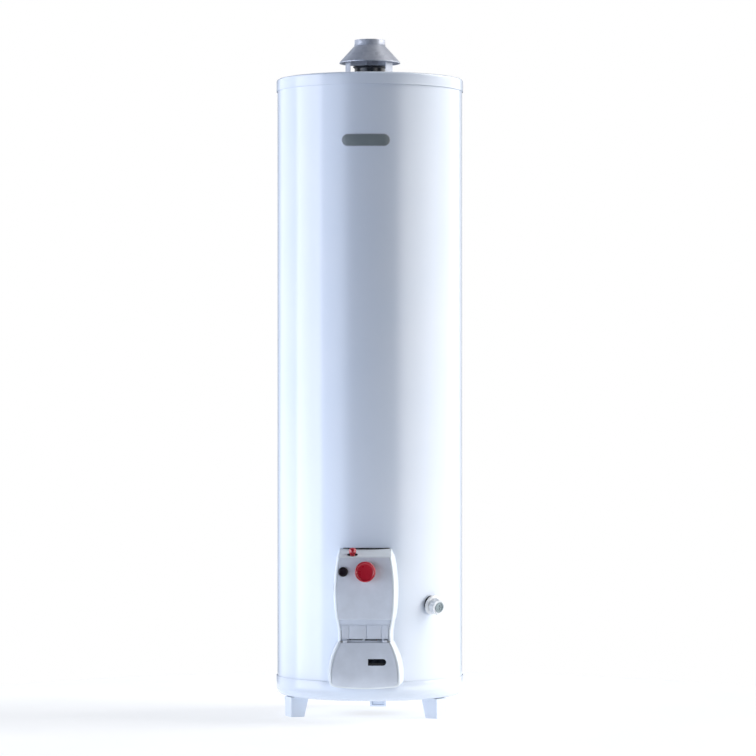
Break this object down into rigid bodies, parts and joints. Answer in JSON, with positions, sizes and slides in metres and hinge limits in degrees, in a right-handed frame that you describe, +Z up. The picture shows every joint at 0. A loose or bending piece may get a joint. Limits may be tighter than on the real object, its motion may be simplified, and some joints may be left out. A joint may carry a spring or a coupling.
{
  "type": "tank water heater",
  "caption": "Tall white gas storage water heater on short feet, with a draft hood on top, a gas control cover with knob and access door at the front, and a drain valve.",
  "frame": {"origin": "centre of the whole object's footprint, on the floor; the tank's own axis stands 38 mm behind it", "axes": "+Z up along the tank, -Y is the front with the gas control, +X to the right seen from the front's camera side"},
  "size_m": [0.4648, 0.546, 1.678],
  "materials": {
    "enamel_white": "glossy white baked enamel",
    "plastic_white": "moulded white plastic, satin",
    "plastic_grey": "bluish grey moulded plastic, satin",
    "plastic_red": "red moulded plastic, satin",
    "plastic_black": "black moulded plastic, satin",
    "plastic_dark": "dark grey moulded plastic",
    "rubber_black": "matt black",
    "galvanised": "galvanised sheet, satin with faint spangle",
    "steel_plated": "zinc plated, satin",
    "steel_tank": "dark primer over mild steel",
    "alloy": "cast or drawn aluminium, matt",
    "brass": "plain brass, satin",
    "copper": "plain copper, satin",
    "ceramic": "glazed ceramic",
    "foam": "rigid foam and glass-fibre blanket",
    "glass_dark": "dark heat-resistant glass"
  },
  "bodies": {
    "root": {"base_pan": "enamel_white", "leg_left": "enamel_white", "leg_right": "enamel_white", "leg_rear": "enamel_white", "jacket": "enamel_white", "top_lid": "enamel_white", "cover_frame": "plastic_white", "drain_body": "plastic_white", "dip_tube": "plastic_white", "face_panel": "plastic_grey", "louvre_panel": "plastic_grey", "igniter_body": "plastic_black", "drain_outlet": "plastic_dark", "badge": "plastic_dark", "drain_gasket": "rubber_black", "igniter_lead": "rubber_black", "draft_hood": "galvanised", "hood_strap_left": "galvanised", "hood_strap_right": "galvanised", "hood_strap_rear": "galvanised", "flue_tube": "galvanised", "flue_baffle": "galvanised", "inner_door": "galvanised", "igniter_bracket": "galvanised", "leg_bolt_left": "steel_plated", "leg_bolt_right": "steel_plated", "leg_bolt_rear": "steel_plated", "lid_screw_1": "steel_plated", "lid_screw_2": "steel_plated", "lid_screw_3": "steel_plated", "inner_door_screw_left": "steel_plated", "inner_door_screw_right": "steel_plated", "door_hinge_pin_left": "steel_plated", "door_hinge_pin_right": "steel_plated", "cold_nipple": "steel_plated", "hot_nipple": "steel_plated", "gas_inlet_nipple": "steel_plated", "anode_plug": "steel_plated", "pilot_burner": "steel_plated", "tank_shell": "steel_tank", "tank_top_head": "steel_tank", "tank_bottom_head": "steel_tank", "burner_head": "steel_tank", "gas_valve_body": "alloy", "burner_tube": "alloy", "pilot_tube": "alloy", "anode_rod": "alloy", "burner_orifice": "brass", "drain_nipple": "brass", "thermocouple": "copper", "thermostat_probe": "copper", "spark_electrode": "ceramic", "insulation": "foam"},
    "knob": {"control_knob": "plastic_red"},
    "pilot_plunger": {"pilot_button": "plastic_red"},
    "igniter_plunger": {"igniter_button": "plastic_black"},
    "door": {"access_door": "plastic_grey", "sight_window": "glass_dark"},
    "drain_wheel": {"drain_handwheel": "plastic_white"},
    "shutter": {"air_shutter": "steel_plated"}
  },
  "joints": [
    {"name": "knob_turn", "type": "hinge", "parent": "root", "child": "knob", "pos_m": [0.002, -0.262, 0.368], "axis": [0, -1, 0], "range_deg": [0, 270]},
    {"name": "pilot_press", "type": "slide", "parent": "root", "child": "pilot_plunger", "axis": [0, 0, -1], "range_m": [0, 0.006], "stiffness_N_per_m": 500, "springref_m": -0.002},
    {"name": "igniter_press", "type": "slide", "parent": "root", "child": "igniter_plunger", "axis": [0, 1, 0], "range_m": [0, 0.005], "stiffness_N_per_m": 700, "springref_m": -0.002},
    {"name": "door_swing", "type": "hinge", "parent": "root", "child": "door", "pos_m": [0, -0.237, 0.1986], "axis": [-1, 0, 0], "range_deg": [0, 70]},
    {"name": "drain_turn", "type": "hinge", "parent": "root", "child": "drain_wheel", "pos_m": [0.17694, -0.15175, 0.27628], "axis": [0.6695, -0.7179, -0.1908], "range_deg": [0, 360]},
    {"name": "shutter_turn", "type": "hinge", "parent": "root", "child": "shutter", "pos_m": [0, 0.038, 0.114], "axis": [0, 0, 1], "range_deg": [0, 40]}
  ]
}
